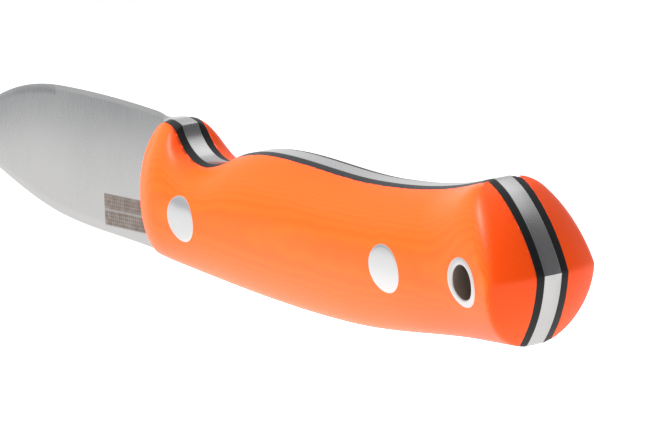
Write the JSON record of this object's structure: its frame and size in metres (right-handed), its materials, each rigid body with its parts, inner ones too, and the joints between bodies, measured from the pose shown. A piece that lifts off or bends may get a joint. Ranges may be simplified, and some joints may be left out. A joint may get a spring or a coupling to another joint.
{
  "type": "fixed-blade rigging knife",
  "caption": "Full-tang fixed-blade rigging knife with contoured orange scales over black liners, flush fasteners and a tubed lanyard hole.",
  "frame": {"origin": "axis of the lanyard hole, halfway through the tang", "axes": "+X along the grip from the tip to the butt, +Y across the knife from its right side to its left, +Z from the back to the cutting edge; the knife stands on its back, edge up, as pictured"},
  "size_m": [0.1765, 0.0212, 0.0303],
  "materials": {
    "blade_steel": "satin",
    "orange_laminate": "fine satin, cloth layers just visible",
    "black_liner": "satin",
    "fastener_steel": "sanded flush, bright satin",
    "tube_steel": "sanded flush, bright satin"
  },
  "bodies": {
    "root": {"blade": "blade_steel", "right_liner": "black_liner", "left_liner": "black_liner", "right_scale": "orange_laminate", "left_scale": "orange_laminate", "front_fastener_screw": "fastener_steel", "front_fastener_nut": "fastener_steel", "rear_fastener_screw": "fastener_steel", "rear_fastener_nut": "fastener_steel", "lanyard_tube": "tube_steel"}
  },
  "joints": []
}
